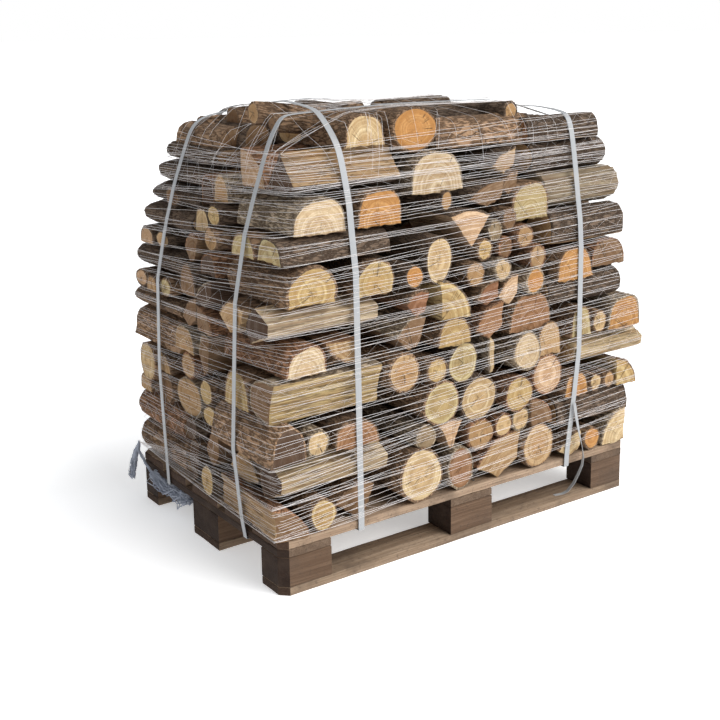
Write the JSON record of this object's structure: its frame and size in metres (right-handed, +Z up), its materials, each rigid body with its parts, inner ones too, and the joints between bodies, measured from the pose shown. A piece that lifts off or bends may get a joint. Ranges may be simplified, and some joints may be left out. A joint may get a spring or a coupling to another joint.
{
  "type": "firewood bundle",
  "caption": "Split logs stacked in crossed courses on a standard timber pallet, wrapped in white pallet net and held by flat straps.",
  "frame": {"origin": "middle of the pallet's underside, on the ground", "axes": "+X along the pallet's long side, +Y along its short side away from the long face with the crib corner at its left, +Z up"},
  "size_m": [1.2898, 0.878, 1.1905],
  "materials": {
    "pallet_wood": "rough sawn, weathered",
    "split_wood": "freshly split, rough",
    "bark": "rough bark",
    "net": "knitted plastic strands",
    "strap": "woven polyester, satin"
  },
  "bodies": {
    "root": {"bottom_board_front": "pallet_wood", "block_front_left": "pallet_wood", "block_front_centre": "pallet_wood", "block_front_right": "pallet_wood", "bottom_board_middle": "pallet_wood", "block_middle_left": "pallet_wood", "block_middle_centre": "pallet_wood", "block_middle_right": "pallet_wood", "bottom_board_back": "pallet_wood", "block_back_left": "pallet_wood", "block_back_centre": "pallet_wood", "block_back_right": "pallet_wood", "cross_board_left": "pallet_wood", "cross_board_centre": "pallet_wood", "cross_board_right": "pallet_wood", "deck_board_1": "pallet_wood", "deck_board_2": "pallet_wood", "deck_board_3": "pallet_wood", "deck_board_4": "pallet_wood", "deck_board_5": "pallet_wood", "crib_log_01": "split_wood", "crib_log_02": "split_wood", "crib_log_03": "split_wood", "crib_log_04": "split_wood", "crib_log_05": "split_wood", "crib_log_06": "split_wood", "crib_log_07": "split_wood", "crib_log_08": "split_wood", "crib_log_09": "split_wood", "crib_log_10": "split_wood", "crib_log_11": "split_wood", "crib_log_12": "split_wood", "crib_log_13": "split_wood", "crib_log_14": "split_wood", "crib_log_15": "split_wood", "crib_log_16": "split_wood", "crib_log_17": "split_wood", "crib_log_18": "split_wood", "crib_log_19": "split_wood", "crib_log_20": "split_wood", "crib_log_21": "split_wood", "crib_log_22": "split_wood", "front_middle_stack": "split_wood", "back_middle_stack": "split_wood", "left_middle_stack": "split_wood", "right_middle_stack": "split_wood", "front_right_crib": "split_wood", "back_left_crib": "split_wood", "back_right_crib": "split_wood", "top_layer": "bark", "top_log_1": "bark", "top_log_2": "bark", "top_log_3": "bark", "top_log_4": "bark", "net": "net", "net_tail": "net", "strap_cross_left": "strap", "strap_cross_right": "strap", "strap_long_front": "strap", "strap_long_back": "strap"}
  },
  "joints": []
}
